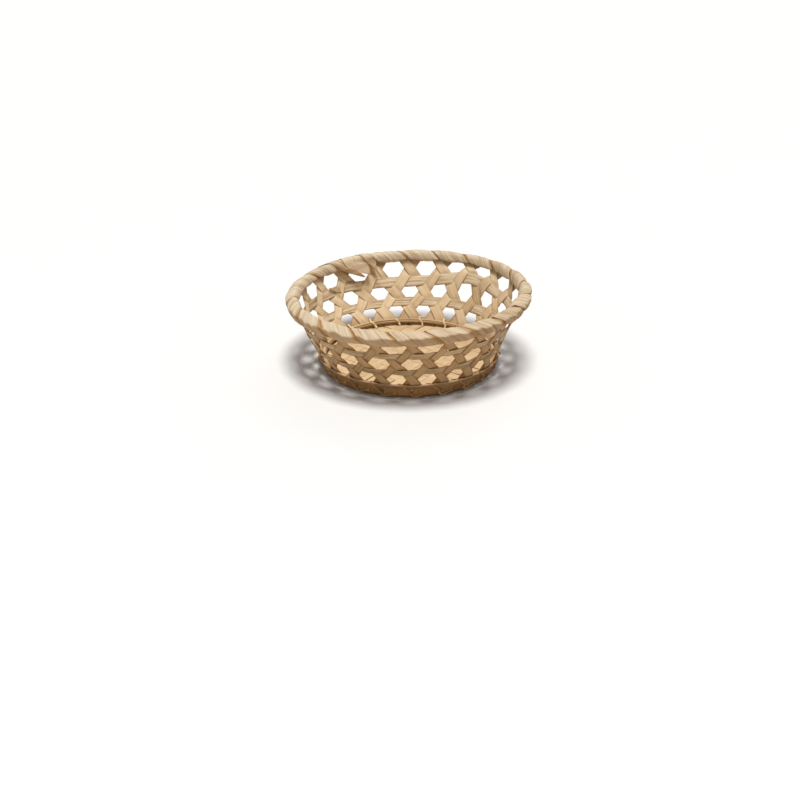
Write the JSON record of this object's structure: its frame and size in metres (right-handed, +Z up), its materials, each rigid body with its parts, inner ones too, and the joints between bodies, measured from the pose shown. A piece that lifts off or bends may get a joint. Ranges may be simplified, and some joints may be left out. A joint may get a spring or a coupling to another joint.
{
  "type": "small round hexagon-weave basket",
  "caption": "Small round hand-woven food basket: open hexagonal wall, plain-woven floor, lashed base hoops and a wound rim.",
  "frame": {"origin": "on the ground, on the basket's axis, under the middle of the floor", "axes": "+Z up along the basket's axis; the picture looks along +Y from the front, with +X to the right"},
  "size_m": [0.2196, 0.2196, 0.072],
  "materials": {
    "weave_strip": "split natural bamboo, dry and slightly fibrous",
    "weaver_ring": "split natural bamboo, dry and slightly fibrous",
    "hoop": "shaved natural cane, satin",
    "rim_wrap": "dry pale leaf strip, matt with long veins",
    "lashing": "thin pale cane strand, satin"
  },
  "bodies": {
    "root": {"weave_strip_a01": "weave_strip", "weave_strip_a02": "weave_strip", "weave_strip_a03": "weave_strip", "weave_strip_a04": "weave_strip", "weave_strip_a05": "weave_strip", "weave_strip_a06": "weave_strip", "weave_strip_a07": "weave_strip", "weave_strip_a08": "weave_strip", "weave_strip_a09": "weave_strip", "weave_strip_a10": "weave_strip", "weave_strip_b01": "weave_strip", "weave_strip_b02": "weave_strip", "weave_strip_b03": "weave_strip", "weave_strip_b04": "weave_strip", "weave_strip_b05": "weave_strip", "weave_strip_b06": "weave_strip", "weave_strip_b07": "weave_strip", "weave_strip_b08": "weave_strip", "weave_strip_b09": "weave_strip", "weave_strip_b10": "weave_strip", "lower_weaver_ring": "weaver_ring", "upper_weaver_ring": "weaver_ring", "outer_base_hoop": "hoop", "inner_base_hoop": "hoop", "outer_rim_hoop": "hoop", "inner_rim_hoop": "hoop", "rim_wrap": "rim_wrap", "base_lashing": "lashing"}
  },
  "joints": []
}
